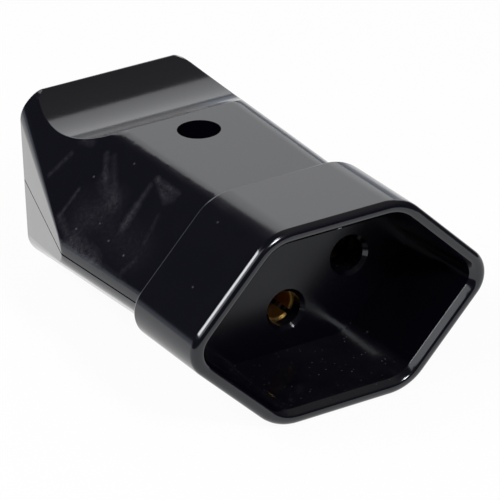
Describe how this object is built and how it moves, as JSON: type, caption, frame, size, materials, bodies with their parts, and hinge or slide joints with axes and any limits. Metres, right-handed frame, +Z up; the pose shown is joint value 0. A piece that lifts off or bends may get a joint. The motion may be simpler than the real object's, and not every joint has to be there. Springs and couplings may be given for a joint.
{
  "type": "inline power socket",
  "caption": "Black inline power socket with a hexagonal pin recess, a stepped collar, a bevelled grip with finger scoops, a deep screw hole on top and a cord inlet at the rear.",
  "frame": {"origin": "centre of the box on the plane under the collar", "axes": "+Z up, +Y from the socket mouth to the cord end, the mouth facing -Y, +X to the right seen from the mouth"},
  "size_m": [0.0424, 0.0588, 0.0265],
  "materials": {
    "black_plastic": "glossy moulded black thermoplastic with light dust and scuffs",
    "brass": "machined brass",
    "plated_steel": "zinc plated steel",
    "spring_steel": "dark spring steel",
    "insulator": "matte dark grey insulator"
  },
  "bodies": {
    "root": {"front_socket": "black_plastic", "upper_shell": "black_plastic", "lower_shell": "black_plastic", "line_contact": "brass", "neutral_contact": "brass", "earth_contact": "brass", "line_spring_ring": "spring_steel", "neutral_spring_ring": "spring_steel", "earth_spring_ring": "spring_steel", "line_terminal_screw": "plated_steel", "neutral_terminal_screw": "plated_steel", "earth_terminal_screw": "plated_steel", "contact_retainer": "insulator", "cord_clamp": "insulator", "clamp_screw_left": "plated_steel", "clamp_screw_right": "plated_steel", "housing_screw": "plated_steel", "housing_nut": "plated_steel"}
  },
  "joints": []
}
